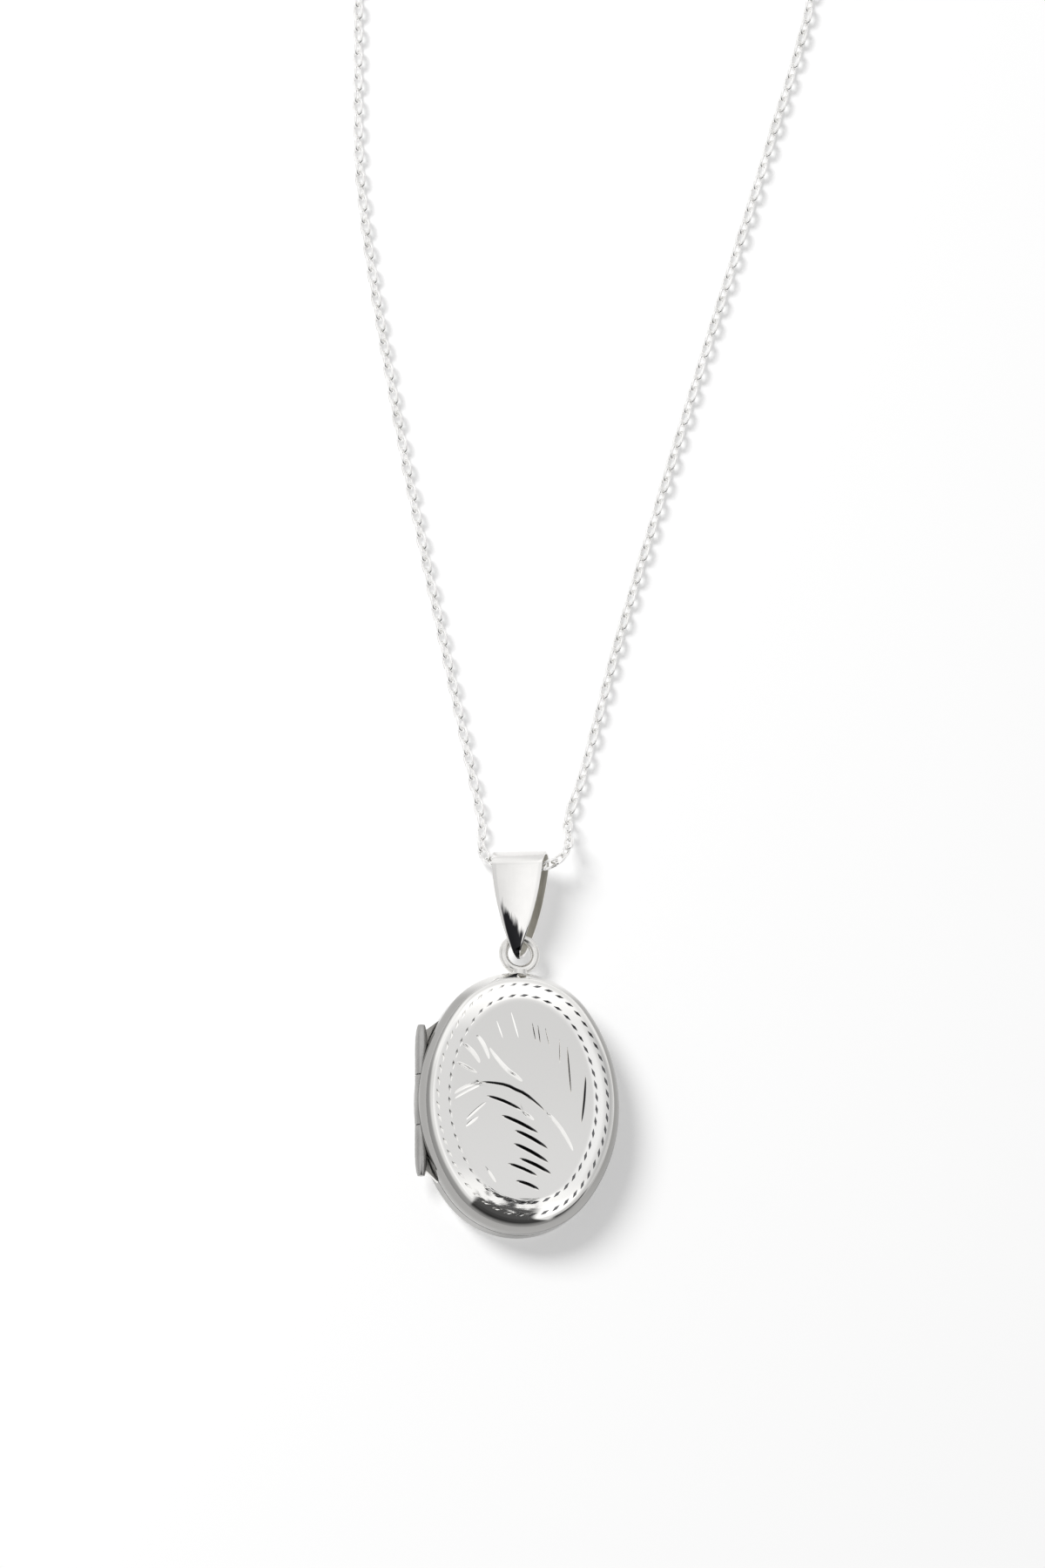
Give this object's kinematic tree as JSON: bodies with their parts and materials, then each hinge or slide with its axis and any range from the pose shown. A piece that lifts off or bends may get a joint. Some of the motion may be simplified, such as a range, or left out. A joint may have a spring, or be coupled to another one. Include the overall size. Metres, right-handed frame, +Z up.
{
  "type": "hinged oval locket on a trace chain",
  "caption": "Hinged oval silver locket with an engraved front, tapered bail and fine trace chain closed by a bolt ring.",
  "frame": {"origin": "centre of the flat back face the locket lies on", "axes": "+Z up from the table through the engraved front, +Y from the case towards the bail and chain, +X away from the hinge"},
  "size_m": [0.0383, 0.1253, 0.0046],
  "materials": {
    "polished_silver": "polished, with a bright-cut engraved front",
    "inner_silver": "bright pressed",
    "chain_silver": "polished wire",
    "clear_sheet": "clear",
    "spring_steel": "drawn wire"
  },
  "bodies": {
    "necklace": {"bail": "polished_silver", "chain_left": "chain_silver", "chain_right": "chain_silver", "chain_coil": "chain_silver", "chain_tail": "chain_silver", "end_ring": "chain_silver", "clasp_tube": "chain_silver", "clasp_spring": "spring_steel", "clasp_eye": "chain_silver", "clasp_link": "chain_silver"},
    "case_back": {"back_cover": "polished_silver", "snap_rim": "inner_silver", "back_frame": "inner_silver", "back_window": "clear_sheet", "knuckle_upper": "polished_silver", "knuckle_lower": "polished_silver", "hinge_pin": "polished_silver", "hanging_loop": "polished_silver"},
    "case_front": {"front_cover": "polished_silver", "knuckle_middle": "polished_silver", "front_frame": "inner_silver", "front_window": "clear_sheet"},
    "bolt": {"clasp_bolt": "chain_silver"}
  },
  "joints": [
    {"name": "locket_swing", "type": "hinge", "parent": "necklace", "child": "case_back", "pos_m": [0.0003, 0.01347, 0.00184], "axis": [1, 0, 0], "range_deg": [-20, 28]},
    {"name": "cover_hinge", "type": "hinge", "parent": "case_back", "child": "case_front", "pos_m": [-0.00765, 0, 0.0023], "axis": [0, -1, 0], "range_deg": [0, 95]},
    {"name": "bolt_draw", "type": "hinge", "parent": "necklace", "child": "bolt", "pos_m": [0.019, 0.1085, 0.00087], "axis": [-0.0699, 0.0998, 0.9925], "range_deg": [0, 68], "stiffness_Nm_per_rad": 0.001, "springref_deg": -17.19, "deforming": ["clasp_spring"]}
  ]
}
